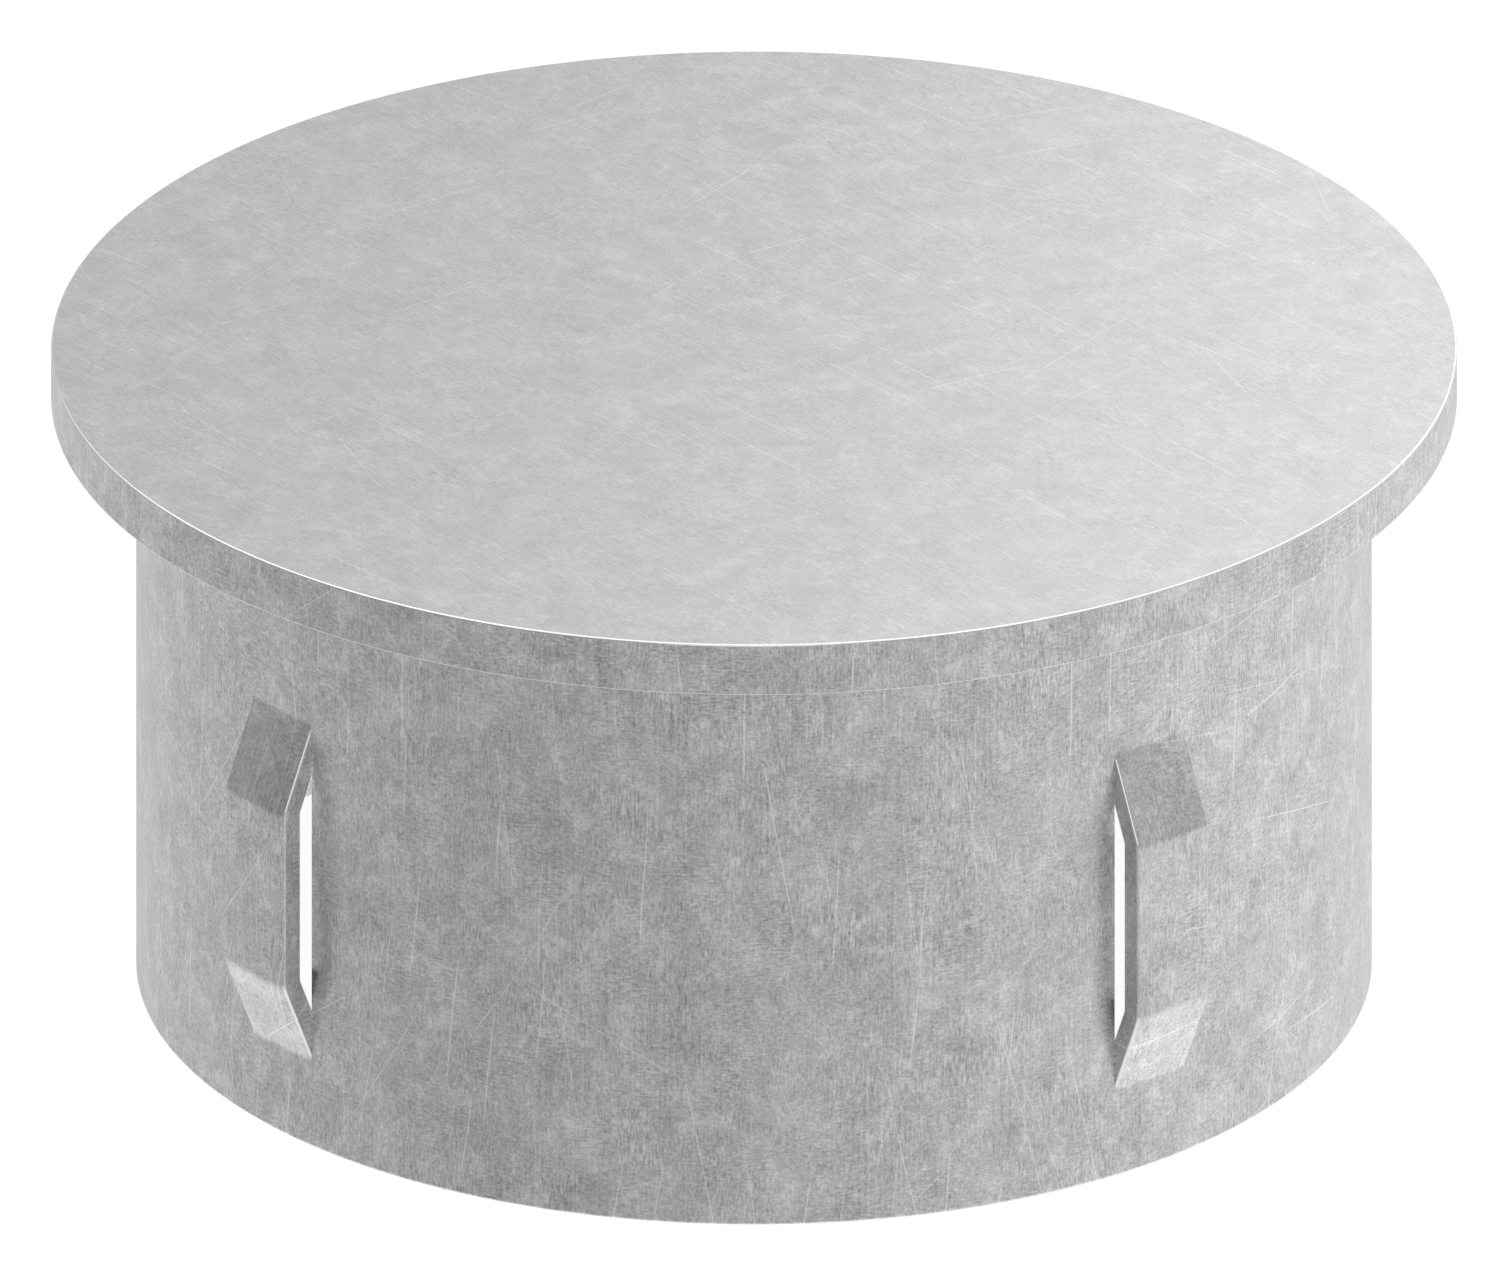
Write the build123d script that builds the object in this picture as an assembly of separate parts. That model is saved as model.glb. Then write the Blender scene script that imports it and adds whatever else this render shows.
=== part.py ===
from build123d import *
import os
from math import atan2, degrees, tan

# Galvanised steel cap that closes the end of a round steel tube.
# A flat blanked disc lies on the tube's end, flush with its outside, and a thin rolled ring below it plugs the bore.
# Bridges lanced out of the ring spring against the bore, so that the cap is knocked in and holds by friction.
# Short weld beads inside the ring, where the disc hides them, join the ring to the disc.
# The origin is the centre of the disc's underside, the plane on which the tube's end bears.
# +Z points out of the tube, and the first bridge stands on +X. Sizes are in millimetres.

# The tube that the cap is made for
tube_diameter = 76.1
tube_wall = 2.9

# Disc
disc_thickness = 3.0
disc_edge_radius = 0.15

# Ring
ring_wall = 1.2
ring_edge_radius = 0.15

# Bridges: the lands are the plain ring above and below each one, and the bite is what the bore presses the crest in
bridge_count = 4
bridge_width = 5.0
bridge_length = 19.85
bridge_lift = 1.95
bridge_bite = 0.25
ramp_length = 4.7
upper_land = 8.75
lower_land = 5.2
bend_inside_radius = 1.0
bend_outside_radius = 1.4

# Weld beads, one midway between each two bridges
weld_leg = 2.0
weld_length = 14.0

# What follows from the sizes above
disc_radius = tube_diameter / 2
bore_radius = disc_radius - tube_wall
crest_radius = bore_radius + bridge_bite
ring_radius = crest_radius - bridge_lift
ring_inner_radius = ring_radius - ring_wall
ring_length = upper_land + bridge_length + lower_land
bridge_top = -upper_land
bridge_bottom = bridge_top - bridge_length
ramp_angle = atan2(bridge_lift, ramp_length)
root_length = bend_outside_radius
bridge_spacing = 360 / bridge_count


def cover_disc():
    """The blank: a flat disc with its edges broken above and below, turned from its half section."""
    edge_start = disc_radius - disc_edge_radius
    edge_end = disc_thickness - disc_edge_radius
    outline = [
        # The underside is two faces, parted at the ring's outside: the seat for the tube's end, and what is within
        Line((0, 0), (ring_radius, 0)),
        Line((ring_radius, 0), (edge_start, 0)),
        RadiusArc((edge_start, 0), (disc_radius, disc_edge_radius), -disc_edge_radius),
        Line((disc_radius, disc_edge_radius), (disc_radius, edge_end)),
        RadiusArc((disc_radius, edge_end), (edge_start, disc_thickness), -disc_edge_radius),
        Line((edge_start, disc_thickness), (0, disc_thickness)),
        Line((0, disc_thickness), (0, 0)),
    ]
    return revolve(Plane.XZ * make_face(outline), axis=Axis.Z, clean=False)


def bridge_side_line(root_reach, crest_reach, bend_shift, root_bend, crest_bend):
    """One face of a bridge's sheet seen from the side: down the ring, out, down along the crest, and in again."""
    return FilletPolyline(
        (root_reach, bridge_top + root_length),
        (root_reach, bridge_top - bend_shift),
        (crest_reach, bridge_top - ramp_length - bend_shift),
        (crest_reach, bridge_bottom + ramp_length + bend_shift),
        (root_reach, bridge_bottom + bend_shift),
        (root_reach, bridge_bottom - root_length),
        radius=[root_bend, crest_bend, crest_bend, root_bend],
    )


def bridge_band():
    """A bridge's side view turned right round the axis, one sheet thickness throughout."""
    outer = bridge_side_line(ring_radius, crest_radius, 0, bend_inside_radius, bend_outside_radius)
    # On the inner face the bends lie lower, by the sheet's thickness times the tangent of half the bend
    inner = bridge_side_line(
        ring_inner_radius,
        crest_radius - ring_wall,
        ring_wall * tan(ramp_angle / 2),
        bend_outside_radius,
        bend_inside_radius,
    )
    ends = [Line(outer @ 0, inner @ 0), Line(outer @ 1, inner @ 1)]
    return revolve(Plane.XZ * make_face([outer, inner, *ends]), axis=Axis.Z)


def plug_ring():
    """The rolled ring with its bridges, all one sheet: a window for each, filled again by a strap pushed outwards."""
    wall_middle = (ring_radius + ring_inner_radius) / 2
    section = Pos(wall_middle, -ring_length / 2) * Rectangle(ring_wall, ring_length)
    section = fillet(section.vertices().group_by(Axis.Y)[0], ring_edge_radius)
    # Both turned bodies start and end between two bridges, clear of every cut
    start_between = Rot(0, 0, bridge_spacing / 2)
    ring = start_between * revolve(Plane.XZ * section, axis=Axis.Z)
    band = start_between * bridge_band()

    # A block from the axis outwards, as wide as a bridge, cuts the window and trims the strap from the band
    block_length = crest_radius + ring_wall
    block_height = bridge_length + 2 * root_length
    block_middle = (bridge_top + bridge_bottom) / 2
    block = Pos(block_length / 2, 0, block_middle) * Box(block_length, bridge_width, block_height)
    blocks = [Rot(0, 0, place * bridge_spacing) * block for place in range(bridge_count)]
    ring -= blocks
    for one in blocks:
        ring += band & one
    return ring


def weld_bead():
    """A stitch weld in the corner between disc and ring, on +X: a quarter round that follows the ring, ends domed."""
    half_sweep = degrees(weld_length / 2 / ring_inner_radius)
    outline = [
        Line((ring_inner_radius - weld_leg, 0), (ring_inner_radius, 0)),
        Line((ring_inner_radius, 0), (ring_inner_radius, -weld_leg)),
        RadiusArc((ring_inner_radius, -weld_leg), (ring_inner_radius - weld_leg, 0), weld_leg),
    ]
    section = Plane.XZ * make_face(outline)
    bar = revolve(section, axis=Axis.Z, revolution_arc=half_sweep)
    # The dome is the same quarter round turned about the corner's upright, with its back trimmed to the ring
    dome = revolve(section, axis=Axis((ring_inner_radius, 0, 0), (0, 0, -1)), revolution_arc=90)
    dome &= Pos(0, 0, -weld_leg) * Cylinder(ring_inner_radius, 2 * weld_leg)
    half_bead = bar + Rot(0, 0, half_sweep) * dome
    return half_bead + mirror(half_bead, about=Plane.XZ)


def weld_beads():
    """All the beads, each midway between two bridges."""
    bead = weld_bead()
    return Compound([Rot(0, 0, (place + 0.5) * bridge_spacing) * bead for place in range(bridge_count)])


os.makedirs("parts", exist_ok=True)
export_step(cover_disc(), "parts/cover_disc.step")
export_step(plug_ring(), "parts/plug_ring.step")
export_step(weld_beads(), "parts/weld_beads.step")
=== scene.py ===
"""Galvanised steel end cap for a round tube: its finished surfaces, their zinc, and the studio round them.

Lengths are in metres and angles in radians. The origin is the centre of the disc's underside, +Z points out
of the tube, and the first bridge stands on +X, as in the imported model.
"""

import math
from collections import namedtuple

import bmesh
import bpy
import numpy as np
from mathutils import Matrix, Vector


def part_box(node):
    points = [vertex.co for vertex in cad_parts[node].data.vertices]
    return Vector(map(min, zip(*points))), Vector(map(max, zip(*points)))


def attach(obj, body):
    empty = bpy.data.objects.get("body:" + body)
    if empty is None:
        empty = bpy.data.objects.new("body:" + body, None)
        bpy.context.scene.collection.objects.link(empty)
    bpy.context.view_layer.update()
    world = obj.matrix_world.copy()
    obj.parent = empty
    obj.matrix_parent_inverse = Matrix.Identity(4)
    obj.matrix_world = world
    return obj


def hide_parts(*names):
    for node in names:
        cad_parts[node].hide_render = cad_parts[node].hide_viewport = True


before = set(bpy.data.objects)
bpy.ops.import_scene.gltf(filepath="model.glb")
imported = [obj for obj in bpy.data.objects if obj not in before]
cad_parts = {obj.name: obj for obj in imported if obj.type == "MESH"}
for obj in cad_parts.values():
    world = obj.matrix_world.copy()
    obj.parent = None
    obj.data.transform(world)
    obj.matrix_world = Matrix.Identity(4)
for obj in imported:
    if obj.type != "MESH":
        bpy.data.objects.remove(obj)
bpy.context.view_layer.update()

bl_info = {
    "name": "Tube end cap",
    "version": (1, 0, 0),
    "blender": (4, 5, 0),
    "location": "3D View > Sidebar > End cap",
    "description": "Builds the disc, the plug ring with its bridges and the welds of a tube end cap",
    "category": "Add Mesh",
}

MILLIMETRE = 0.001
BRIDGE_COUNT = 4
BRIDGE_SPACING = math.tau / BRIDGE_COUNT
MERGE_DISTANCE = 1e-7
SHARP_ANGLE = math.radians(32)
SHEET_UV = "sheet"
EDGE_WEAR_AND_HIGHLIGHT = "edge_wear_and_highlight"
MARKING = "marking"

# A grid of points, their places on the flat sheet, how far each is rubbed bright and made pale as a painted
# highlight, and how strongly its zinc is marked
Patch = namedtuple("Patch", "points sheet wear marking", defaults=(0.0, 1.0))

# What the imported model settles
disc_low, disc_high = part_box("cover_disc")
ring_low, ring_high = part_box("plug_ring")
DISC_RADIUS = disc_high.x
DISC_THICKNESS = disc_high.z
CREST_RADIUS = ring_high.x
RING_LENGTH = -ring_low.z


def length(name, description, default):
    """A size that is set in millimetres by the maker and kept in metres."""
    return bpy.props.FloatProperty(
        name=name,
        description=description,
        default=default * MILLIMETRE,
        min=0.0,
        unit="LENGTH",
        precision=5,
    )


def share(name, description, default, low=0.0, high=1.0):
    """A plain number between two bounds."""
    return bpy.props.FloatProperty(name=name, description=description, default=default, min=low, max=high)


def grey(name, description, level):
    """A neutral colour, because the whole cap is one grey metal."""
    return bpy.props.FloatVectorProperty(
        name=name,
        description=description,
        default=(level, level, level, 1.0),
        size=4,
        min=0.0,
        max=1.0,
        subtype="COLOR",
    )


class CapSizes(bpy.types.PropertyGroup):
    """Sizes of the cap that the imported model's box doesn't give."""

    disc_top_edge: length("Disc top edge", "Radius that breaks the disc's upper edge", 0.11)
    disc_low_edge: length("Disc lower edge", "Radius that breaks the disc's lower edge", 0.06)
    ring_wall: length("Ring wall", "Sheet thickness of the ring and its bridges", 1.2)
    ring_edge_radius: length("Ring edge radius", "Radius that breaks the ring's open edge", 0.15)
    bridge_width: length("Bridge width", "Width of each bridge round the ring", 5.0)
    bridge_length: length("Bridge length", "Height of each bridge from bend to bend", 19.85)
    bridge_lift: length("Bridge lift", "How far a crest stands out over the ring", 1.95)
    bridge_edge_radius: length("Bridge edge radius", "Radius that breaks a bridge's long edges", 0.14)
    ramp_length: length("Ramp length", "Height in which a bridge leaves the ring", 4.7)
    upper_land: length("Upper land", "Plain ring between the disc and a bridge", 8.75)
    bend_inside_radius: length("Inside bend radius", "Radius on the hollow face of a bend", 1.0)
    bend_outside_radius: length("Outside bend radius", "Radius on the round face of a bend", 1.4)
    weld_leg: length("Weld leg", "Reach of a weld bead along the disc and down the ring", 2.0)
    weld_length: length("Weld length", "Length of a weld bead between its domed ends", 14.0)


class CapFinish(bpy.types.PropertyGroup):
    """Colours and surface of the zinc and of the welds under it."""

    zinc_light: grey("Light zinc", "Lightest specks of the zinc", 0.98)
    zinc_dark: grey("Dark zinc", "Darkest specks of the zinc", 0.42)
    weld_light: grey("Light weld", "Lightest specks of the weld", 0.5)
    weld_dark: grey("Dark weld", "Darkest specks of the weld", 0.28)
    # Pale colour of the edges: partly rubbed by handling, partly a painted highlight
    zinc_rubbed_and_highlight: grey("Rubbed zinc", "Edges that handling has rubbed bright", 0.95)
    roughness: share("Roughness", "Middle roughness of the zinc", 0.33)
    speckle: share("Speckle", "Strength of the zinc's fine speckle", 0.95, high=3.0)
    clouds: share("Clouds", "Strength of its soft clouds", 0.75, high=3.0)
    wisps: share("Wisps", "Strength of its pale ragged wisps", 0.25, high=3.0)
    fibres: share("Fibres", "Strength of its crossed fibres", 1.1, high=3.0)
    rolling: share("Rolling lines", "Strength of its long rolling lines", 0.7, high=3.0)
    scratches: share("Scratches", "Strength of the handling scratches", 0.75)


class CapStage(bpy.types.PropertyGroup):
    """Camera and light."""

    azimuth: bpy.props.FloatProperty(
        name="Azimuth",
        description="Way round the cap from which the camera looks, from -Y towards +X",
        default=math.radians(50),
        subtype="ANGLE",
    )
    elevation: bpy.props.FloatProperty(
        name="Elevation",
        description="Height of the camera over the horizon",
        default=math.radians(25),
        subtype="ANGLE",
    )
    frame_width: length("Frame width", "Width that the parallel view takes in", 81.62)
    aim_depth: length("Aim depth", "How far under the disc's top the view is centred", 17.32)
    floor_colour: grey("Floor colour", "Colour of the floor", 0.8)
    sky: share("Sky", "Brightness of the studio above the horizon", 0.48)
    sky_side: share("Sky side", "What the bright side adds to the sky and the other side takes away", 0.193)
    ground: share("Ground", "What the pale ground adds under the horizon", 0.446)
    ground_side: share("Ground side", "What the bright side adds to the ground besides", 0.106)
    bright_side: bpy.props.FloatProperty(
        name="Bright side",
        description="Way round from the camera to the studio's brightest side",
        default=math.radians(137.7),
        subtype="ANGLE",
    )


def turned(radius, turn, height):
    """Points at a radius, a turn round the axis and a height: (r cos t, r sin t, z)."""
    return np.stack(np.broadcast_arrays(radius * np.cos(turn), radius * np.sin(turn), height), axis=-1)


def arc(centre, radius, start, end, steps):
    """Points (r, z) on a circle about a centre from one angle to another: c + radius (cos a, sin a)."""
    angle = np.linspace(start, end, steps + 1)
    return np.stack([centre[0] + radius * np.cos(angle), centre[1] + radius * np.sin(angle)], axis=-1)


def run(start, end, steps):
    """Points evenly along a straight line between two points."""
    along = np.linspace(0, 1, steps + 1)[:, None]
    return np.asarray(start) * (1 - along) + np.asarray(end) * along


def patch_faces(rows, columns, first):
    """Corners of the quads of a grid of points that is numbered row by row from first."""
    corner = first + np.arange((rows - 1) * columns).reshape(rows - 1, columns)[:, :-1]
    return np.stack([corner, corner + 1, corner + columns + 1, corner + columns], axis=-1).reshape(-1, 4)


def build_piece(name, patches, material):
    """One closed object from grids of points, merged where they meet."""
    points = np.concatenate([patch.points.reshape(-1, 3) for patch in patches])
    sheets = np.concatenate([patch.sheet.reshape(-1, 2) for patch in patches])
    faces = []
    first = 0
    for patch in patches:
        rows, columns = patch.points.shape[:2]
        faces.append(patch_faces(rows, columns, first))
        first += rows * columns
    faces = np.concatenate(faces)
    mesh = bpy.data.meshes.new(name)
    mesh.from_pydata(points, [], faces)
    layer = mesh.uv_layers.new(name=SHEET_UV)
    layer.data.foreach_set("uv", sheets[faces.ravel()].ravel())
    for attribute, field in ((EDGE_WEAR_AND_HIGHLIGHT, "wear"), (MARKING, "marking")):
        values = [np.broadcast_to(getattr(patch, field), patch.points.shape[:2]).ravel() for patch in patches]
        mesh.attributes.new(attribute, "FLOAT", "POINT").data.foreach_set("value", np.concatenate(values))

    work = bmesh.new()
    work.from_mesh(mesh)
    bmesh.ops.remove_doubles(work, verts=work.verts, dist=MERGE_DISTANCE)
    bmesh.ops.recalc_face_normals(work, faces=work.faces)
    work.to_mesh(mesh)
    work.free()
    mesh.shade_smooth()
    mesh.set_sharp_from_angle(angle=SHARP_ANGLE)
    mesh.materials.append(material)

    piece = bpy.data.objects.new(name, mesh)
    bpy.context.scene.collection.objects.link(piece)
    even = piece.modifiers.new("even_normals", "WEIGHTED_NORMAL")
    even.keep_sharp = True
    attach(piece, "root")
    return piece


# Disc

DISC_TURNS = 288
FLAT_STEPS = 8
EDGE_STEPS = 6
# The disc's upper edge is made pale in full and its lower edge by this share: partly rubbed, partly a painted
# highlight line
LOW_EDGE_WEAR_AND_HIGHLIGHT = 0.6
FLAT_MARKING = 0.45


def disc_profile(top, low):
    """Half section (r, z) from the top's middle to the underside's middle, its edges quarter circles."""
    return np.concatenate(
        [
            run((0, DISC_THICKNESS), (DISC_RADIUS - top, DISC_THICKNESS), FLAT_STEPS)[:-1],
            arc((DISC_RADIUS - top, DISC_THICKNESS - top), top, math.pi / 2, 0, EDGE_STEPS),
            arc((DISC_RADIUS - low, low), low, 0, -math.pi / 2, EDGE_STEPS),
            run((DISC_RADIUS - low, 0), (0, 0), FLAT_STEPS)[1:],
        ]
    )


def disc_patches(sizes):
    """The half section carried round the axis: point (r cos t, r sin t, z) for profile place and turn t.

    On the flat faces the sheet's grain runs along X, and on the rim it runs up and down.
    """
    profile = disc_profile(sizes.disc_top_edge, sizes.disc_low_edge)
    turn = np.linspace(0, math.tau, DISC_TURNS + 1)[None, :] + BRIDGE_SPACING / 2
    height = profile[:, 1, None]
    points = turned(profile[:, 0, None], turn, height)
    round_rim = np.stack(np.broadcast_arrays(DISC_RADIUS * turn, height), axis=-1)
    flat = points[..., 1::-1]
    # Pale edge arcs: partly rubbed, partly a painted highlight line
    wear = np.zeros((len(profile), 1))
    wear[FLAT_STEPS + 1 : FLAT_STEPS + EDGE_STEPS] = 1
    wear[-FLAT_STEPS - EDGE_STEPS : -FLAT_STEPS - 1] = LOW_EDGE_WEAR_AND_HIGHLIGHT
    marking = np.ones((len(profile), 1))
    marking[: FLAT_STEPS + 1] = FLAT_MARKING
    marking[-FLAT_STEPS - 1 :] = FLAT_MARKING
    top = slice(0, FLAT_STEPS + 1)
    rim = slice(FLAT_STEPS, len(profile) - FLAT_STEPS)
    underside = slice(len(profile) - FLAT_STEPS - 1, None)
    return [
        Patch(points[top], flat[top], wear[top], marking[top]),
        Patch(points[rim], round_rim[rim], wear[rim], marking[rim]),
        Patch(points[underside], flat[underside], wear[underside], marking[underside]),
    ]


# Ring with its bridges

LAND_TURNS = 48
BRIDGE_COLUMNS = 6
WINDOW_ROWS = 12
BEND_STEPS = 8
CORNER_STEPS = 4
LAND_ROWS = 4
FOOT_ROWS = 3
RAMP_STEPS = 6
CREST_STEPS = 6
# Strap edges made pale, partly rubbed and partly a painted highlight: stronger down the ramps, dimmer along
# the crest
RAMP_EDGE_WEAR_AND_HIGHLIGHT = 1.0
CREST_EDGE_WEAR_AND_HIGHLIGHT = 0.3


def ring_radii(sizes):
    """Outer and inner radius of the ring's plain wall."""
    outer = CREST_RADIUS - sizes.bridge_lift
    return outer, outer - sizes.ring_wall


def window_heights(sizes):
    """Heights at which the sheet is whole again round a bridge: where the outer face starts to bend."""
    ramp_angle = math.atan2(sizes.bridge_lift, sizes.ramp_length)
    start_of_bend = sizes.bend_inside_radius * math.tan(ramp_angle / 2)
    top = -sizes.upper_land + start_of_bend
    bottom = -sizes.upper_land - sizes.bridge_length - start_of_bend
    return top, bottom


def wall_sections(sizes):
    """The wall's section (r, z) in six lengths: down the outside, round the foot and up the inside.

    The first four are whole all round, and the windows cut the other two.
    """
    outer, inner = ring_radii(sizes)
    top, bottom = window_heights(sizes)
    edge = sizes.ring_edge_radius
    foot = -RING_LENGTH
    round_the_foot = np.concatenate(
        [
            run((outer, bottom), (outer, foot + edge), FOOT_ROWS),
            arc((outer - edge, foot + edge), edge, 0, -math.pi / 2, EDGE_STEPS),
            arc((inner + edge, foot + edge), edge, -math.pi / 2, -math.pi, EDGE_STEPS),
            run((inner, foot + edge), (inner, bottom), FOOT_ROWS),
        ]
    )
    whole = [
        run((inner, 0), (outer, 0), 1),
        run((outer, 0), (outer, top), LAND_ROWS),
        round_the_foot,
        run((inner, top), (inner, 0), LAND_ROWS),
    ]
    cut = [
        run((outer, top), (outer, bottom), WINDOW_ROWS),
        run((inner, bottom), (inner, top), WINDOW_ROWS),
    ]
    return whole, cut


def sheet_place(turn, height, sizes):
    """Place on the ring's sheet rolled flat: the way round its outside, and the height."""
    outer = ring_radii(sizes)[0]
    return np.stack(np.broadcast_arrays(outer * turn, height), axis=-1)


def land_patch(section, first_turn, sizes):
    """A section carried from one window's side to the next: turn from s + e to s + spacing - e.

    The windows have parallel sides, so e is asin(half width / r), which differs from outside to inside.
    """
    radius = section[:, 0, None]
    side = np.arcsin(sizes.bridge_width / 2 / radius)
    along = np.linspace(0, 1, LAND_TURNS + 1)[None, :]
    turn = first_turn + side + (BRIDGE_SPACING - 2 * side) * along
    height = np.broadcast_to(section[:, 1, None], turn.shape)
    return Patch(turned(radius, turn, height), sheet_place(turn, height, sizes))


def window_patch(section, first_turn, sizes):
    """A section carried across a window's width: turn s + asin(y / r) for even steps of y."""
    radius = section[:, 0, None]
    across = np.linspace(-0.5, 0.5, BRIDGE_COLUMNS + 1)[None, :] * sizes.bridge_width
    turn = first_turn + np.arcsin(across / radius)
    height = np.broadcast_to(section[:, 1, None], turn.shape)
    return Patch(turned(radius, turn, height), sheet_place(turn, height, sizes))


def window_side_patch(side, first_turn, sizes):
    """A window's upright side between the two faces of the wall, on its parallel plane y = +-half width."""
    outer, inner = ring_radii(sizes)
    radius = np.array([outer, inner])[None, :]
    top, bottom = window_heights(sizes)
    height = np.linspace(top, bottom, WINDOW_ROWS + 1)[:, None]
    turn = first_turn + np.arcsin(side * sizes.bridge_width / 2 / radius)
    points = turned(radius, np.broadcast_to(turn, (len(height), 2)), height)
    depth = (outer - radius) * side
    place = sheet_place(turn, height, sizes)
    place[..., 0] -= np.broadcast_to(depth, place.shape[:-1])
    return Patch(points, place)


def bridge_line(root_reach, crest_reach, bend_shift, root_bend, crest_bend, sizes):
    """One face of a bridge from the side, (reach, height): root, bend, ramp, bend, crest, and the same again.

    A bend is an arc of radius b that touches both lines, b tan(a / 2) from their corner for a turn of a.
    """
    top, bottom = window_heights(sizes)
    ramp_angle = math.atan2(sizes.bridge_lift, sizes.ramp_length)
    root_corner = -sizes.upper_land - bend_shift
    crest_corner = root_corner - sizes.ramp_length
    root_arc = arc(
        (root_reach + root_bend, root_corner + root_bend * math.tan(ramp_angle / 2)),
        root_bend,
        math.pi,
        math.pi + ramp_angle,
        BEND_STEPS,
    )
    crest_arc = arc(
        (crest_reach - crest_bend, crest_corner - crest_bend * math.tan(ramp_angle / 2)),
        crest_bend,
        ramp_angle,
        0,
        BEND_STEPS,
    )
    ramp = run(root_arc[-1], crest_arc[0], RAMP_STEPS)[1:-1]
    upper = np.concatenate([[(root_reach, top)], root_arc, ramp, crest_arc])
    middle_height = -sizes.upper_land - sizes.bridge_length / 2
    crest = run(crest_arc[-1], (crest_reach, middle_height), CREST_STEPS)[1:]
    upper = np.concatenate([upper, crest])
    lower = upper[-2::-1] * (1, -1) + (0, 2 * middle_height)
    return np.concatenate([upper, lower])


def rounded_section(width, thickness, edge):
    """Loop (y, depth) round a strap's section for each edge radius: across the outside, down, back, and up.

    The corners are quarter circles, and where their radius is nothing they close to the corner itself.
    """
    half = width / 2
    across = np.linspace(-1, 1, BRIDGE_COLUMNS + 1)
    quarter = np.linspace(0, math.pi / 2, CORNER_STEPS + 1)[1:-1]
    edge = edge[:, None]
    outside = ((half - edge) * across, np.zeros_like(across))
    right_upper = (half - edge + edge * np.sin(quarter), edge - edge * np.cos(quarter))
    right = (half, np.concatenate([edge, thickness - edge], axis=1))
    right_lower = (half - edge + edge * np.cos(quarter), thickness - edge + edge * np.sin(quarter))
    inside = ((half - edge) * -across, np.full_like(across, thickness))
    left_lower = (-(half - edge + edge * np.sin(quarter)), thickness - edge + edge * np.cos(quarter))
    left = (-half, np.concatenate([thickness - edge, edge], axis=1))
    left_upper = (-(half - edge + edge * np.cos(quarter)), edge - edge * np.sin(quarter))
    loop = [outside, right_upper, right, right_lower, inside, left_lower, left, left_upper]
    stations = len(edge)
    sides = []
    depths = []
    for side, depth in loop:
        side, depth = np.broadcast_arrays(np.atleast_2d(side), np.atleast_2d(depth))
        sides.append(np.broadcast_to(side, (stations, side.shape[1])))
        depths.append(np.broadcast_to(depth, (stations, depth.shape[1])))
    side = np.concatenate(sides, axis=1)
    depth = np.concatenate(depths, axis=1)
    return np.concatenate([side, side[:, :1]], axis=1), np.concatenate([depth, depth[:, :1]], axis=1)


def strap_wear_and_highlight(edge, reach):
    """Rubbed and painted-highlight paleness round a strap's section, in the order of its loop: on the four
    rounded corners, and none between.

    The painted highlight on the corners is bright down the ramps and duller along the crest, where the
    strap's reach is full.
    """
    corner = np.ones(CORNER_STEPS - 1)
    wide = np.zeros(BRIDGE_COLUMNS + 1)
    flank = np.zeros(2)
    loop = np.concatenate([wide, corner, flank, corner, wide, corner, flank, corner, wide[:1]])
    wear = np.where(reach < reach.max() - MERGE_DISTANCE, RAMP_EDGE_WEAR_AND_HIGHLIGHT, CREST_EDGE_WEAR_AND_HIGHLIGHT)
    return loop[None, :] * (wear * edge / edge.max())[:, None]


def strap_patch(first_turn, sizes):
    """A bridge's strap: its rounded section carried along the two side lines.

    A point is a + (b - a) d / t, where a and b lie on the outer and inner face at the same y, each at
    (sqrt(R R - y y), y, z) for that face's reach R, and d is its depth in the sheet of thickness t.
    """
    outer_root, inner_root = ring_radii(sizes)
    ramp_angle = math.atan2(sizes.bridge_lift, sizes.ramp_length)
    bend_shift = sizes.ring_wall * math.tan(ramp_angle / 2)
    small, large = sizes.bend_inside_radius, sizes.bend_outside_radius
    outer = bridge_line(outer_root, CREST_RADIUS, 0, small, large, sizes)
    inner = bridge_line(inner_root, CREST_RADIUS - sizes.ring_wall, bend_shift, large, small, sizes)
    stations = len(outer)
    # The broken edge fades in from nothing at the roots, where the slit in the sheet ends
    from_root = np.minimum(np.arange(stations), np.arange(stations)[::-1]) / (BEND_STEPS + 1)
    edge = sizes.bridge_edge_radius * np.clip(from_root, 0, 1)
    side, depth = rounded_section(sizes.bridge_width, sizes.ring_wall, edge)
    faces = []
    for line in (outer, inner):
        reach = np.sqrt(line[:, 0, None] ** 2 - side**2)
        height = np.broadcast_to(line[:, 1, None], side.shape)
        faces.append(np.stack([reach, side, height], axis=-1))
    share_of_depth = (depth / sizes.ring_wall)[..., None]
    flat = faces[0] * (1 - share_of_depth) + faces[1] * share_of_depth
    turn = first_turn + np.arctan2(flat[..., 1], flat[..., 0])
    points = turned(np.hypot(flat[..., 0], flat[..., 1]), turn, flat[..., 2])
    place = sheet_place(turn, flat[..., 2], sizes)
    on_flank = np.abs(side) > sizes.bridge_width / 2 - edge[:, None] / 2
    place[..., 0] += np.where(on_flank, np.sign(side) * depth, 0)
    return Patch(points, place, strap_wear_and_highlight(edge, outer[:, 0]))


def ring_patches(sizes):
    """All the grids of the ring: plain lands, the sheet over and under the bridges, slits and straps."""
    whole, cut = wall_sections(sizes)
    patches = []
    for place in range(BRIDGE_COUNT):
        first_turn = place * BRIDGE_SPACING
        patches += [land_patch(section, first_turn, sizes) for section in whole + cut]
        patches += [window_patch(section, first_turn, sizes) for section in whole]
        patches += [window_side_patch(side, first_turn, sizes) for side in (-1, 1)]
        patches.append(strap_patch(first_turn, sizes))
    return patches


# Weld beads

BEAD_STATIONS = 96
BEAD_ROUND = 12
RIPPLE_PITCH = 0.9 * MILLIMETRE
RIPPLE_DEPTH = 0.05
RIPPLE_LAG = 0.6


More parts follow.
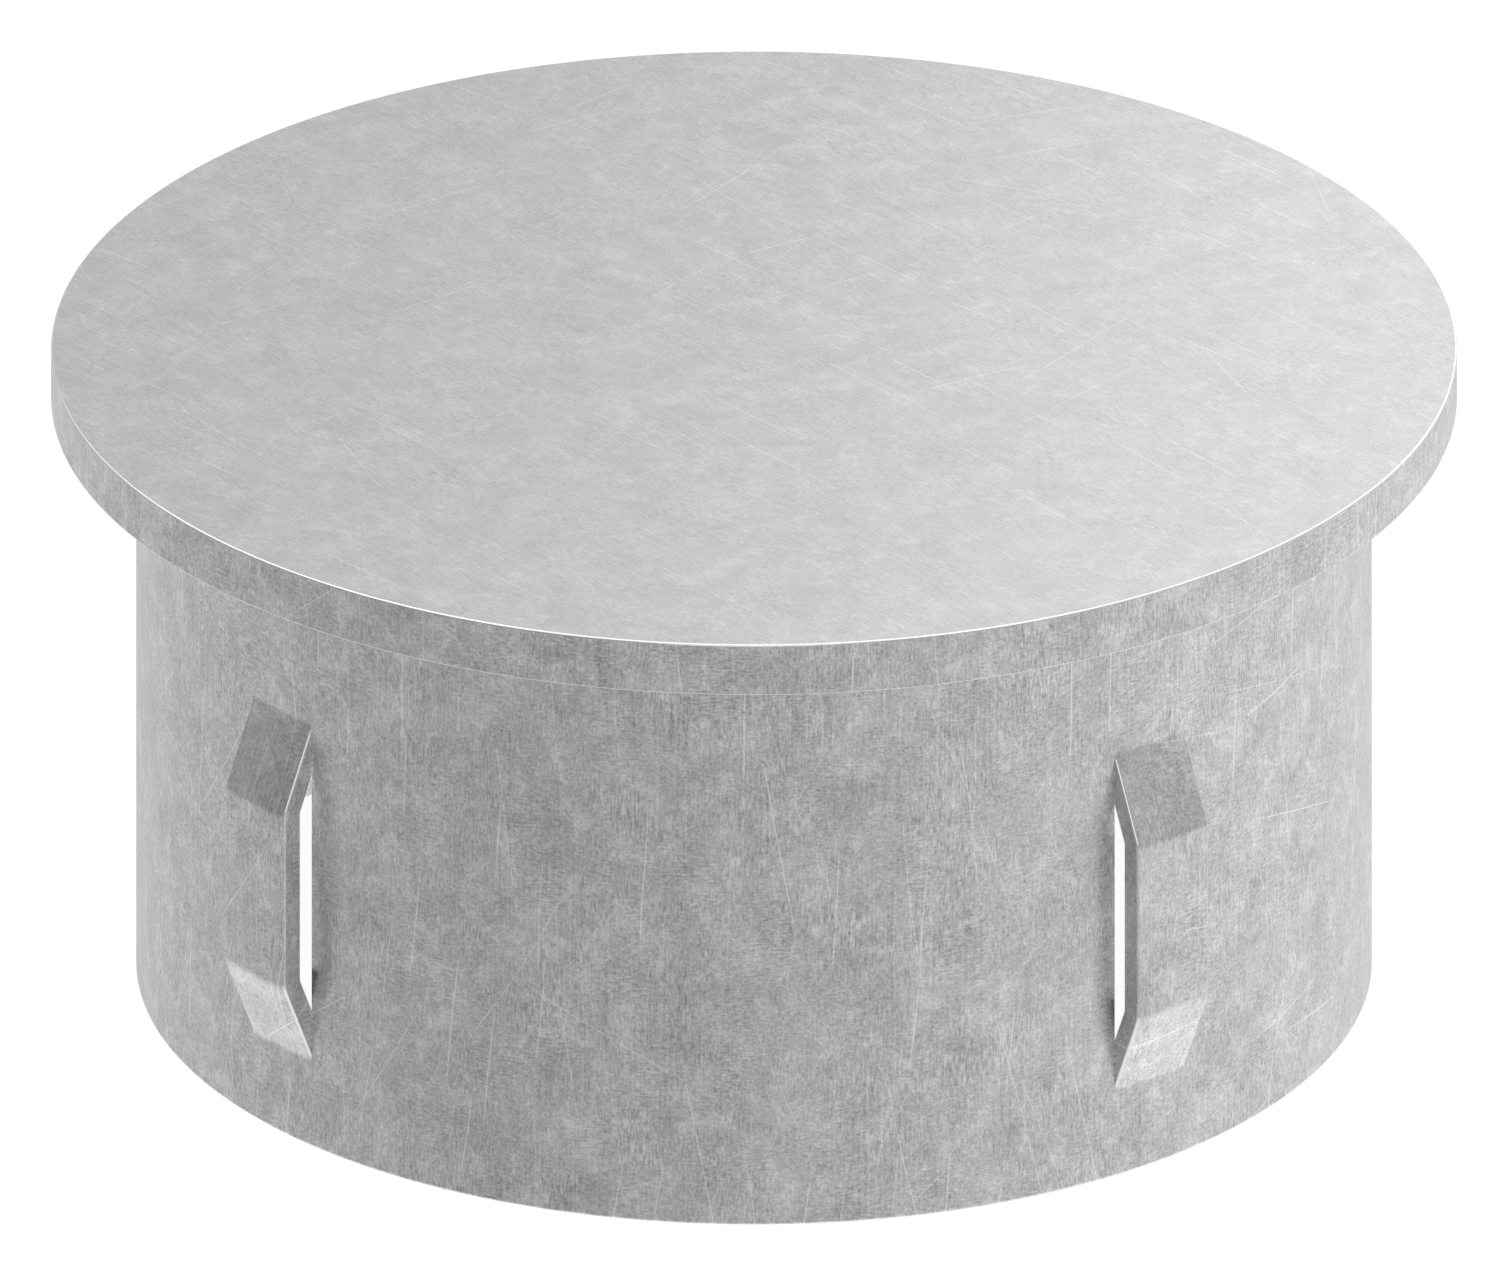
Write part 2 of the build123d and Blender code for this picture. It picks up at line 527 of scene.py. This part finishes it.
def bead_patch(middle_turn, sizes):
    """A stitch weld: radius w(s) (1 - ripple) round the corner of disc and ring, closed through the corner.

    w(s) is the weld's leg, falling to nothing over the domed ends as sqrt(1 - q q), and the ripple is a row
    of crescents |sin| that lag behind in the middle of the bead, as the pool cools from its sides.
    """
    inner = ring_radii(sizes)[1]
    half = sizes.weld_length / 2
    reach = half + sizes.weld_leg
    along = -reach * np.cos(np.linspace(0, math.pi, BEAD_STATIONS + 1))[:, None]
    past_end = np.clip((np.abs(along) - half) / sizes.weld_leg, 0, 1)
    width = sizes.weld_leg * np.sqrt(1 - past_end**2)
    angle = np.linspace(0, math.pi / 2, BEAD_ROUND + 1)[None, :]
    lag = RIPPLE_LAG * np.sin(2 * angle)
    ripple = np.abs(np.sin(math.pi * (along / RIPPLE_PITCH + lag)))
    belly = np.sin(2 * angle)
    radius = width * (1 - RIPPLE_DEPTH * ripple * belly)
    inward = np.concatenate([radius * np.cos(angle), np.zeros_like(along)], axis=1)
    down = np.concatenate([radius * np.sin(angle), np.zeros_like(along)], axis=1)
    inward = np.concatenate([inward, inward[:, :1]], axis=1)
    down = np.concatenate([down, down[:, :1]], axis=1)
    turn = np.broadcast_to(middle_turn + along / inner, inward.shape)
    sheet = np.stack(np.broadcast_arrays(inward - down, along), axis=-1)
    return Patch(turned(inner - inward, turn, -down), sheet)


# Zinc

# Each noise: its scale per metre, and its detail, roughness and distortion
NOISE_MIDDLE = 0.5
SPECKLE_SCALE = 6000.0
SPECKLE_KIND = (1.0, 0.6)
CLOUD_SCALE = 320.0
CLOUD_KIND = (4.0, 0.6, 0.4)
WISP_SCALE = 700.0
WISP_KIND = (5.0, 0.7, 0.6)
# The part of the wisps' noise that shows, and its tone, taken down so that the zinc stays as light as it was
WISP_BAND = (0.46, 0.68)
WISP_TONE = (-0.3, 0.7)

# A place squeezed along U or V draws a pattern out that way, and a shifted one reads other noise
NO_SQUEEZE = (1.0, 1.0, 1.0)
FIBRE_FINENESS = 9000.0
FIBRE_DETAIL = 1.0
UPRIGHT_SQUEEZE = (1.0, 0.16, 1.0)
LEVEL_SQUEEZE = (0.2, 1.0, 1.0)
LEVEL_SHIFT = (0.3, 0.1, 0.0)
# Patches in which the upright fibres lead, and what both ways add up to
LEADING_SCALE = 260.0
LEADING_BAND = (0.38, 0.62)
LEADING_SHARE = (0.25, 1.0)
BOTH_WAYS = 1.1
# Patches in which the fibres are marked more strongly
STRONG_SHIFT = (0.5, 0.2, 0.0)
STRONG_SCALE = 220.0
STRONG_BAND = (0.35, 0.65)
STRONG_SHARE = (0.55, 1.35)

ROLLING_FINENESS = 5500.0
ROLLING_KIND = (2.0, 0.55)
ROLLING_SQUEEZE = (1.0, 0.03, 1.0)
ROLLING_PATCH_SCALE = 110.0
ROLLING_BAND = (0.38, 0.62)
ROLLING_SHARE = (0.2, 1.0)

# Handling scratches, a layer each: turn in degrees, bow per metre, cell width, cell length and half the
# line's width in millimetres, and the share of cells with a scratch
SCRATCHES = (
    (2, 1.5, 2.6, 11, 0.06, 0.45),
    (-3, -2.0, 3.6, 18, 0.05, 0.45),
    (8, 3.0, 6.0, 8, 0.06, 0.4),
    (84, 4.0, 5.0, 12, 0.06, 0.4),
    (96, -5.0, 7.0, 18, 0.05, 0.35),
    (103, 3.5, 9.0, 9, 0.06, 0.3),
    (38, 6.0, 12.0, 12, 0.05, 0.25),
    (-24, -4.0, 12.0, 12, 0.05, 0.25),
)
# A scratch is full this far from its middle and gone at that, as shares of its cell's length
SCRATCH_FULL = 0.15
SCRATCH_GONE = 0.42
# How the sheet is bent to and fro, so that no scratch is quite straight
WANDER_SCALE = 60.0
WANDER_DETAIL = 1.0
WANDER_REACH = (1.2 * MILLIMETRE, 1.2 * MILLIMETRE, 0.0)

TONE_BAND = (-0.5, 0.5)
ROUGHNESS_SWING = 0.06
RUBBED_SMOOTHER = 0.12
ZINC_RELIEF = 0.1
ZINC_RELIEF_DEPTH = 0.02 * MILLIMETRE

WELD_SPECKLE = 1.0
WELD_CLOUDS = 1.2
WELD_CLOUD_SCALE = 500.0
WELD_ROUGHNESS = 0.5
WELD_RELIEF = 0.3
WELD_RELIEF_DEPTH = 0.05 * MILLIMETRE


def add_node(tree, kind, inputs=None, **settings):
    """Adds a node, sets its options, and gives each input a value or another node's output."""
    node = tree.nodes.new(kind)
    for name, value in settings.items():
        setattr(node, name, value)
    for name, value in (inputs or {}).items():
        if isinstance(value, bpy.types.NodeSocket):
            tree.links.new(value, node.inputs[name])
        else:
            node.inputs[name].default_value = value
    return node


def maths(tree, operation, first, second=0.0):
    """Output of one Math node."""
    return add_node(tree, "ShaderNodeMath", {0: first, 1: second}, operation=operation).outputs[0]


def start_group(name, inputs, outputs):
    """A shader node group with named sockets: returns the tree, its inputs' outputs and its output node."""
    tree = bpy.data.node_groups.new(name, "ShaderNodeTree")
    for socket, kind, default in inputs:
        made = tree.interface.new_socket(name=socket, in_out="INPUT", socket_type=kind)
        if default is not None:
            made.default_value = default
    for socket in outputs:
        tree.interface.new_socket(name=socket, in_out="OUTPUT", socket_type="NodeSocketFloat")
    return tree, tree.nodes.new("NodeGroupInput").outputs, tree.nodes.new("NodeGroupOutput")


def noise(tree, place, scale, detail=2.0, roughness=0.5, distortion=0.0):
    """Output of one 3-D noise texture, from 0 to 1 about 0.5."""
    made = add_node(
        tree,
        "ShaderNodeTexNoise",
        {"Vector": place, "Scale": scale, "Detail": detail, "Roughness": roughness, "Distortion": distortion},
    )
    return made.outputs[0]


def stretched(tree, place, squeeze, shift=(0.0, 0.0, 0.0)):
    """The place scaled unevenly and moved, so that a pattern read there is drawn out."""
    return add_node(
        tree,
        "ShaderNodeVectorMath",
        {0: place, 1: squeeze, 2: shift},
        operation="MULTIPLY_ADD",
    ).outputs[0]


def mapped(tree, value, start, end, low, high, smooth=False):
    """A value carried from one range to another and held there, evenly or along a soft S."""
    made = add_node(
        tree,
        "ShaderNodeMapRange",
        {"Value": value, "From Min": start, "From Max": end, "To Min": low, "To Max": high},
        interpolation_type="SMOOTHSTEP" if smooth else "LINEAR",
    )
    return made.outputs[0]


def mottle_group():
    """Cloudy zinc: fine speckle, soft clouds and ragged pale wisps, each about nought, times its share."""
    tree, given, result = start_group(
        "zinc_mottle",
        [
            ("Place", "NodeSocketVector", None),
            ("Speckle Scale", "NodeSocketFloat", SPECKLE_SCALE),
            ("Speckle", "NodeSocketFloat", 0.5),
            ("Cloud Scale", "NodeSocketFloat", CLOUD_SCALE),
            ("Clouds", "NodeSocketFloat", 0.5),
            ("Wisp Scale", "NodeSocketFloat", WISP_SCALE),
            ("Wisps", "NodeSocketFloat", 0.0),
        ],
        ["Tone"],
    )
    speckle = noise(tree, given["Place"], given["Speckle Scale"], *SPECKLE_KIND)
    clouds = noise(tree, given["Place"], given["Cloud Scale"], *CLOUD_KIND)
    wisps = noise(tree, given["Place"], given["Wisp Scale"], *WISP_KIND)
    wisps = mapped(tree, wisps, *WISP_BAND, *WISP_TONE, True)
    patterns = (
        (speckle, "Speckle", NOISE_MIDDLE),
        (clouds, "Clouds", NOISE_MIDDLE),
        (wisps, "Wisps", 0.0),
    )
    tone = 0.0
    for pattern, share_name, middle in patterns:
        part = maths(tree, "MULTIPLY", maths(tree, "SUBTRACT", pattern, middle), given[share_name])
        tone = maths(tree, "ADD", part, tone)
    tree.links.new(tone, result.inputs["Tone"])
    return tree


def fibre_group():
    """Crossed fibres of the brushed zinc, about nought: noise drawn out along the sheet's V and along its U.

    One or the other leads in each patch of the sheet, and some patches are marked more strongly.
    """
    tree, given, result = start_group(
        "crossed_fibres",
        [("Place", "NodeSocketVector", None), ("Fineness", "NodeSocketFloat", FIBRE_FINENESS)],
        ["Tone"],
    )
    upright = stretched(tree, given["Place"], UPRIGHT_SQUEEZE)
    upright = noise(tree, upright, given["Fineness"], FIBRE_DETAIL)
    level = stretched(tree, given["Place"], LEVEL_SQUEEZE, LEVEL_SHIFT)
    level = noise(tree, level, given["Fineness"], FIBRE_DETAIL)
    leading = mapped(tree, noise(tree, given["Place"], LEADING_SCALE), *LEADING_BAND, *LEADING_SHARE, True)
    following = maths(tree, "SUBTRACT", BOTH_WAYS, leading)
    upright = maths(tree, "MULTIPLY", maths(tree, "SUBTRACT", upright, NOISE_MIDDLE), leading)
    level = maths(tree, "MULTIPLY", maths(tree, "SUBTRACT", level, NOISE_MIDDLE), following)
    other = stretched(tree, given["Place"], NO_SQUEEZE, STRONG_SHIFT)
    strength = mapped(tree, noise(tree, other, STRONG_SCALE), *STRONG_BAND, *STRONG_SHARE)
    tone = maths(tree, "MULTIPLY", maths(tree, "ADD", upright, level), strength)
    tree.links.new(tone, result.inputs["Tone"])
    return tree


def grain_group():
    """Long faint rolling lines about nought: noise drawn far out along the sheet's V, stronger in patches."""
    tree, given, result = start_group(
        "rolling_lines",
        [("Place", "NodeSocketVector", None), ("Fineness", "NodeSocketFloat", ROLLING_FINENESS)],
        ["Tone"],
    )
    drawn = stretched(tree, given["Place"], ROLLING_SQUEEZE)
    lines = noise(tree, drawn, given["Fineness"], *ROLLING_KIND)
    streaks = maths(tree, "SUBTRACT", lines, NOISE_MIDDLE)
    patches = noise(tree, given["Place"], ROLLING_PATCH_SCALE)
    strength = mapped(tree, patches, *ROLLING_BAND, *ROLLING_SHARE)
    tree.links.new(maths(tree, "MULTIPLY", streaks, strength), result.inputs["Tone"])
    return tree


def scratch_layer(tree, place, turn, bow, across, along, width, kept):
    """Single scratches one way over the sheet, one at most in each cell of across by along metres.

    A scratch is the line through its cell's random point, full near the point and faded out towards its ends.
    The sheet is bowed first, x + bow y y, so that the scratches are shallow arcs, and only the kept share of
    the cells has one.
    """
    turned_place = add_node(
        tree,
        "ShaderNodeVectorRotate",
        {"Vector": place, "Angle": turn},
        rotation_type="Z_AXIS",
    ).outputs[0]
    parts = add_node(tree, "ShaderNodeSeparateXYZ", {0: turned_place}).outputs
    square = maths(tree, "MULTIPLY", parts["Y"], parts["Y"])
    bowed = maths(tree, "ADD", parts["X"], maths(tree, "MULTIPLY", square, bow))
    cell = add_node(
        tree,
        "ShaderNodeCombineXYZ",
        {"X": maths(tree, "DIVIDE", bowed, across), "Y": maths(tree, "DIVIDE", parts["Y"], along)},
    ).outputs[0]
    points = add_node(
        tree,
        "ShaderNodeTexVoronoi",
        {"Vector": cell, "Scale": 1.0},
        voronoi_dimensions="2D",
    ).outputs
    away = add_node(
        tree,
        "ShaderNodeVectorMath",
        {0: cell, 1: points["Position"]},
        operation="SUBTRACT",
    ).outputs[0]
    away = add_node(tree, "ShaderNodeSeparateXYZ", {0: away}).outputs
    line = mapped(tree, maths(tree, "ABSOLUTE", away["X"]), 0.0, width / across, 1.0, 0.0)
    ends = mapped(tree, maths(tree, "ABSOLUTE", away["Y"]), SCRATCH_FULL, SCRATCH_GONE, 1.0, 0.0, True)
    chance = add_node(tree, "ShaderNodeSeparateColor", {0: points["Color"]}).outputs[0]
    strength = mapped(tree, chance, 1.0 - kept, 1.0, 0.0, 1.0)
    return maths(tree, "MULTIPLY", maths(tree, "MULTIPLY", line, ends), strength)


def scratch_group():
    """Light handling scratches: single lines in several directions, most of them near the grain's own."""
    tree, given, result = start_group("handling_scratches", [("Place", "NodeSocketVector", None)], ["Mask"])
    wander = add_node(
        tree,
        "ShaderNodeTexNoise",
        {"Vector": given["Place"], "Scale": WANDER_SCALE, "Detail": WANDER_DETAIL},
    ).outputs["Color"]
    place = add_node(
        tree,
        "ShaderNodeVectorMath",
        {0: wander, 1: WANDER_REACH, 2: given["Place"]},
        operation="MULTIPLY_ADD",
    ).outputs[0]
    total = 0.0
    for turn, bow, across, along, width, kept in SCRATCHES:
        layer = scratch_layer(
            tree,
            place,
            math.radians(turn),
            bow,
            across * MILLIMETRE,
            along * MILLIMETRE,
            width * MILLIMETRE,
            kept,
        )
        total = maths(tree, "MAXIMUM", layer, total)
    tree.links.new(total, result.inputs["Mask"])
    return tree


def placed_group(tree, name, inputs):
    """One of the shared groups placed in a material with its own values."""
    placed = add_node(tree, "ShaderNodeGroup", node_tree=bpy.data.node_groups[name])
    for socket, value in inputs.items():
        if isinstance(value, bpy.types.NodeSocket):
            tree.links.new(value, placed.inputs[socket])
        else:
            placed.inputs[socket].default_value = value
    return placed


def start_material(name):
    """An empty node material: returns it, its tree and its surface shader."""
    material = bpy.data.materials.new(name)
    material.use_nodes = True
    tree = material.node_tree
    shader = next(node for node in tree.nodes if node.type == "BSDF_PRINCIPLED")
    return material, tree, shader


def zinc_material(finish):
    """Matt zinc on sheet: mottle, fibres, rolling lines, scratches, and edges rubbed pale and smooth, the
    pale partly handling and partly a painted highlight.
    """
    material, tree, shader = start_material("galvanised_zinc")
    body = add_node(tree, "ShaderNodeTexCoord").outputs["Object"]
    sheet = add_node(tree, "ShaderNodeUVMap", uv_map=SHEET_UV).outputs[0]
    tone = placed_group(
        tree,
        "zinc_mottle",
        {"Place": body, "Speckle": finish.speckle, "Clouds": finish.clouds, "Wisps": finish.wisps},
    ).outputs["Tone"]
    fibres = placed_group(tree, "crossed_fibres", {"Place": sheet}).outputs["Tone"]
    tone = maths(tree, "ADD", tone, maths(tree, "MULTIPLY", fibres, finish.fibres))
    streaks = placed_group(tree, "rolling_lines", {"Place": sheet}).outputs["Tone"]
    tone = maths(tree, "ADD", tone, maths(tree, "MULTIPLY", streaks, finish.rolling))
    marking = add_node(tree, "ShaderNodeAttribute", attribute_name=MARKING).outputs["Fac"]
    tone = maths(tree, "MULTIPLY", tone, marking)
    scratches = placed_group(tree, "handling_scratches", {"Place": sheet}).outputs["Mask"]
    scratches = maths(tree, "MULTIPLY", scratches, maths(tree, "MULTIPLY", marking, finish.scratches))
    level = maths(tree, "ADD", maths(tree, "ADD", tone, scratches), NOISE_MIDDLE)
    plain = add_node(
        tree,
        "ShaderNodeMix",
        {"Factor": level, "A": finish.zinc_dark, "B": finish.zinc_light},
        data_type="RGBA",
    ).outputs["Result"]
    # Edges made pale: partly rubbed by handling, partly a painted highlight along their rounds
    edge = add_node(tree, "ShaderNodeAttribute", attribute_name=EDGE_WEAR_AND_HIGHLIGHT).outputs["Fac"]
    colour = add_node(
        tree,
        "ShaderNodeMix",
        {"Factor": edge, "A": plain, "B": finish.zinc_rubbed_and_highlight},
        data_type="RGBA",
    ).outputs["Result"]
    tree.links.new(colour, shader.inputs["Base Color"])
    smoothest = finish.roughness - ROUGHNESS_SWING
    rough = mapped(tree, tone, *TONE_BAND, smoothest, finish.roughness + ROUGHNESS_SWING)
    rough = maths(tree, "SUBTRACT", rough, maths(tree, "MULTIPLY", edge, RUBBED_SMOOTHER))
    tree.links.new(rough, shader.inputs["Roughness"])
    relief = add_node(
        tree,
        "ShaderNodeBump",
        {"Height": tone, "Strength": ZINC_RELIEF, "Distance": ZINC_RELIEF_DEPTH},
    ).outputs[0]
    tree.links.new(relief, shader.inputs["Normal"])
    shader.inputs["Metallic"].default_value = 1.0
    return material


def weld_material(finish):
    """Weld metal under the same zinc: duller, darker and more finely clouded than the sheet."""
    material, tree, shader = start_material("weld_metal")
    body = add_node(tree, "ShaderNodeTexCoord").outputs["Object"]
    mottle = placed_group(
        tree,
        "zinc_mottle",
        {"Place": body, "Speckle": WELD_SPECKLE, "Clouds": WELD_CLOUDS, "Cloud Scale": WELD_CLOUD_SCALE},
    ).outputs["Tone"]
    level = maths(tree, "ADD", mottle, NOISE_MIDDLE)
    colour = add_node(
        tree,
        "ShaderNodeMix",
        {"Factor": level, "A": finish.weld_dark, "B": finish.weld_light},
        data_type="RGBA",
    )
    tree.links.new(colour.outputs["Result"], shader.inputs["Base Color"])
    relief = add_node(
        tree,
        "ShaderNodeBump",
        {"Height": mottle, "Strength": WELD_RELIEF, "Distance": WELD_RELIEF_DEPTH},
    ).outputs[0]
    tree.links.new(relief, shader.inputs["Normal"])
    shader.inputs["Metallic"].default_value = 1.0
    shader.inputs["Roughness"].default_value = WELD_ROUGHNESS
    return material


# Stage

FLOOR_HALF = 1.5
# What the camera sees of the floor: a dark matt part that takes the shadow, and a white glow
FLOOR_SHADE = (0.13, 0.13, 0.13, 1.0)
FLOOR_GLOW = 0.94
WHITE = (1.0, 1.0, 1.0, 1.0)
CAMERA_DISTANCE = 0.5

# Softboxes: degrees round from the camera and up, distance and width in metres, and radiance. They are wide
# and dim, so that the metal doesn't burn out where it mirrors one
SOFTBOXES = (
    ("lamp_over", 0, 89, 0.6, 1.1, 0.7),
    ("lamp_right", 143, 25, 0.25, 0.3, 0.48),
    ("lamp_left", -125, 45, 0.5, 0.45, 0.5),
    ("lamp_front", 0, 10, 0.5, 0.24, 0.8),
)

# Heights of a unit direction at which the world's pale ground begins and at which it is full
GROUND_START = -0.2
GROUND_FULL = -0.67


def floor_material(colour):
    """Pale floor: matt for the light it sends up, and near white with a soft shadow where it is seen."""
    material, tree, shader = start_material("studio_floor")
    tree.nodes.remove(shader)
    output = next(node for node in tree.nodes if node.type == "OUTPUT_MATERIAL")
    seen = add_node(tree, "ShaderNodeLightPath").outputs["Is Camera Ray"]
    bounce = add_node(tree, "ShaderNodeBsdfDiffuse", {"Color": colour}).outputs[0]
    shade = add_node(tree, "ShaderNodeBsdfDiffuse", {"Color": FLOOR_SHADE}).outputs[0]
    glow = add_node(tree, "ShaderNodeEmission", {"Color": WHITE, "Strength": FLOOR_GLOW}).outputs[0]
    white = add_node(tree, "ShaderNodeAddShader", {0: shade, 1: glow}).outputs[0]
    above = add_node(tree, "ShaderNodeMixShader", {0: seen, 1: bounce, 2: white}).outputs[0]
    under = add_node(tree, "ShaderNodeBsdfTransparent").outputs[0]
    behind = add_node(tree, "ShaderNodeNewGeometry").outputs["Backfacing"]
    surface = add_node(tree, "ShaderNodeMixShader", {0: behind, 1: above, 2: under}).outputs[0]
    tree.links.new(surface, output.inputs["Surface"])
    return material


def add_floor(colour):
    """A large level floor that the ring's foot stands on."""
    corners = FLOOR_HALF * np.array([(-1, -1, 0), (1, -1, 0), (1, 1, 0), (-1, 1, 0)])
    mesh = bpy.data.meshes.new("floor")
    mesh.from_pydata(corners + (0, 0, -RING_LENGTH), [], [(0, 1, 2, 3)])
    mesh.materials.append(floor_material(colour))
    floor = bpy.data.objects.new("floor", mesh)
    bpy.context.scene.collection.objects.link(floor)
    # In the metal the world's pale ground shows instead, so that the wall is as bright high up as at its foot
    floor.visible_glossy = False


def add_camera(stage):
    """A parallel view from the stage's azimuth and elevation, centred on the axis under the disc's top."""
    data = bpy.data.cameras.new("camera")
    data.type = "ORTHO"
    data.ortho_scale = stage.frame_width
    camera = bpy.data.objects.new("camera", data)
    bpy.context.scene.collection.objects.link(camera)
    back = direction(stage.azimuth, stage.elevation)
    camera.location = Vector((0, 0, DISC_THICKNESS - stage.aim_depth)) + back * CAMERA_DISTANCE
    camera.rotation_euler = back.to_track_quat("Z", "Y").to_euler()
    bpy.context.scene.camera = camera


def direction(azimuth, elevation):
    """Unit vector from the cap towards an azimuth, from -Y towards +X, and an elevation."""
    level = math.cos(elevation)
    return Vector((math.sin(azimuth) * level, -math.cos(azimuth) * level, math.sin(elevation)))


def add_softbox(name, azimuth, elevation, distance, width, radiance):
    """A square lamp that faces the cap. Its watts are its radiance times pi times its area."""
    data = bpy.data.lights.new(name, "AREA")
    data.shape = "SQUARE"
    data.size = width
    data.energy = radiance * math.pi * width**2
    lamp = bpy.data.objects.new(name, data)
    bpy.context.scene.collection.objects.link(lamp)
    towards = direction(azimuth, elevation)
    lamp.location = towards * distance
    lamp.rotation_euler = towards.to_track_quat("Z", "Y").to_euler()
    lamp.visible_camera = False


def add_world(stage):
    """Pale studio all round: an even sky and a paler ground, both a little brighter to one side at the back.

    Its strength is sky + a (sky side + d ground side) + d ground, where a is how far a direction points to
    the bright side and d goes from 0 to 1 as it sinks from GROUND_START to GROUND_FULL. Past the floor the
    camera sees white.
    """
    world = bpy.data.worlds.new("studio")
    bpy.context.scene.world = world
    world.use_nodes = True
    tree = world.node_tree
    background = next(node for node in tree.nodes if node.type == "BACKGROUND")
    way = add_node(tree, "ShaderNodeTexCoord").outputs["Generated"]
    bright = direction(stage.azimuth + stage.bright_side, 0)
    aside = add_node(
        tree,
        "ShaderNodeVectorMath",
        {0: way, 1: bright},
        operation="DOT_PRODUCT",
    ).outputs["Value"]
    height = add_node(tree, "ShaderNodeSeparateXYZ", {0: way}).outputs["Z"]
    down = mapped(tree, height, GROUND_START, GROUND_FULL, 0.0, 1.0, True)
    side = maths(tree, "ADD", maths(tree, "MULTIPLY", down, stage.ground_side), stage.sky_side)
    sideways = maths(tree, "MULTIPLY", aside, side)
    strength = maths(tree, "ADD", sideways, maths(tree, "MULTIPLY", down, stage.ground))
    strength = maths(tree, "ADD", strength, stage.sky)
    seen = add_node(tree, "ShaderNodeLightPath").outputs["Is Camera Ray"]
    background.inputs["Color"].default_value = WHITE
    tree.links.new(maths(tree, "MAXIMUM", strength, seen), background.inputs["Strength"])


class CAP_OT_materials(bpy.types.Operator):
    """Make the zinc and weld materials and the node groups they share"""

    bl_idname = "cap.materials"
    bl_label = "Materials"

    def execute(self, context):
        finish = context.scene.cap_finish
        mottle_group()
        fibre_group()
        grain_group()
        scratch_group()
        zinc_material(finish)
        weld_material(finish)
        return {"FINISHED"}


class CAP_OT_disc(bpy.types.Operator):
    """Make the flat disc that closes the tube"""

    bl_idname = "cap.disc"
    bl_label = "Disc"

    def execute(self, context):
        patches = disc_patches(context.scene.cap_sizes)
        disc = build_piece("disc", patches, bpy.data.materials["galvanised_zinc"])
        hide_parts("cover_disc")
        return {"FINISHED"}


class CAP_OT_ring(bpy.types.Operator):
    """Make the plug ring with its lanced bridges"""

    bl_idname = "cap.ring"
    bl_label = "Plug ring"

    def execute(self, context):
        patches = ring_patches(context.scene.cap_sizes)
        ring = build_piece("ring", patches, bpy.data.materials["galvanised_zinc"])
        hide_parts("plug_ring")
        return {"FINISHED"}


class CAP_OT_welds(bpy.types.Operator):
    """Make the stitch welds inside the ring"""

    bl_idname = "cap.welds"
    bl_label = "Welds"

    def execute(self, context):
        sizes = context.scene.cap_sizes
        turns = (np.arange(BRIDGE_COUNT) + 0.5) * BRIDGE_SPACING
        patches = [bead_patch(turn, sizes) for turn in turns]
        welds = build_piece("welds", patches, bpy.data.materials["weld_metal"])
        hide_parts("weld_beads")
        return {"FINISHED"}


class CAP_OT_stage(bpy.types.Operator):
    """Set up the floor, the lamps and the camera"""

    bl_idname = "cap.stage"
    bl_label = "Stage"

    def execute(self, context):
        stage = context.scene.cap_stage
        add_floor(stage.floor_colour)
        add_camera(stage)
        add_world(stage)
        for name, azimuth, elevation, distance, width, radiance in SOFTBOXES:
            turn = stage.azimuth + math.radians(azimuth)
            add_softbox(name, turn, math.radians(elevation), distance, width, radiance)
        context.scene.view_settings.view_transform = "Standard"
        return {"FINISHED"}


class CAP_PT_panel(bpy.types.Panel):
    """Sidebar panel with the cap's operators, sizes and finish"""

    bl_idname = "CAP_PT_panel"
    bl_label = "End cap"
    bl_space_type = "VIEW_3D"
    bl_region_type = "UI"
    bl_category = "End cap"

    def draw(self, context):
        for step in STEPS:
            self.layout.operator(step.bl_idname)
        for group in (context.scene.cap_sizes, context.scene.cap_finish, context.scene.cap_stage):
            for name in group.__annotations__:
                self.layout.prop(group, name)


STEPS = (CAP_OT_materials, CAP_OT_disc, CAP_OT_ring, CAP_OT_welds, CAP_OT_stage)
CLASSES = (CapSizes, CapFinish, CapStage) + STEPS + (CAP_PT_panel,)


def register():
    """Registers every class and hangs the settings on the scene."""
    for one in CLASSES:
        bpy.utils.register_class(one)
    bpy.types.Scene.cap_sizes = bpy.props.PointerProperty(type=CapSizes)
    bpy.types.Scene.cap_finish = bpy.props.PointerProperty(type=CapFinish)
    bpy.types.Scene.cap_stage = bpy.props.PointerProperty(type=CapStage)


def unregister():
    """Takes the settings and the classes away again."""
    del bpy.types.Scene.cap_stage
    del bpy.types.Scene.cap_finish
    del bpy.types.Scene.cap_sizes
    for one in reversed(CLASSES):
        bpy.utils.unregister_class(one)


def main():
    register()
    bpy.ops.cap.materials()
    bpy.ops.cap.disc()
    bpy.ops.cap.ring()
    bpy.ops.cap.welds()
    bpy.ops.cap.stage()


if __name__ == "__main__":
    main()
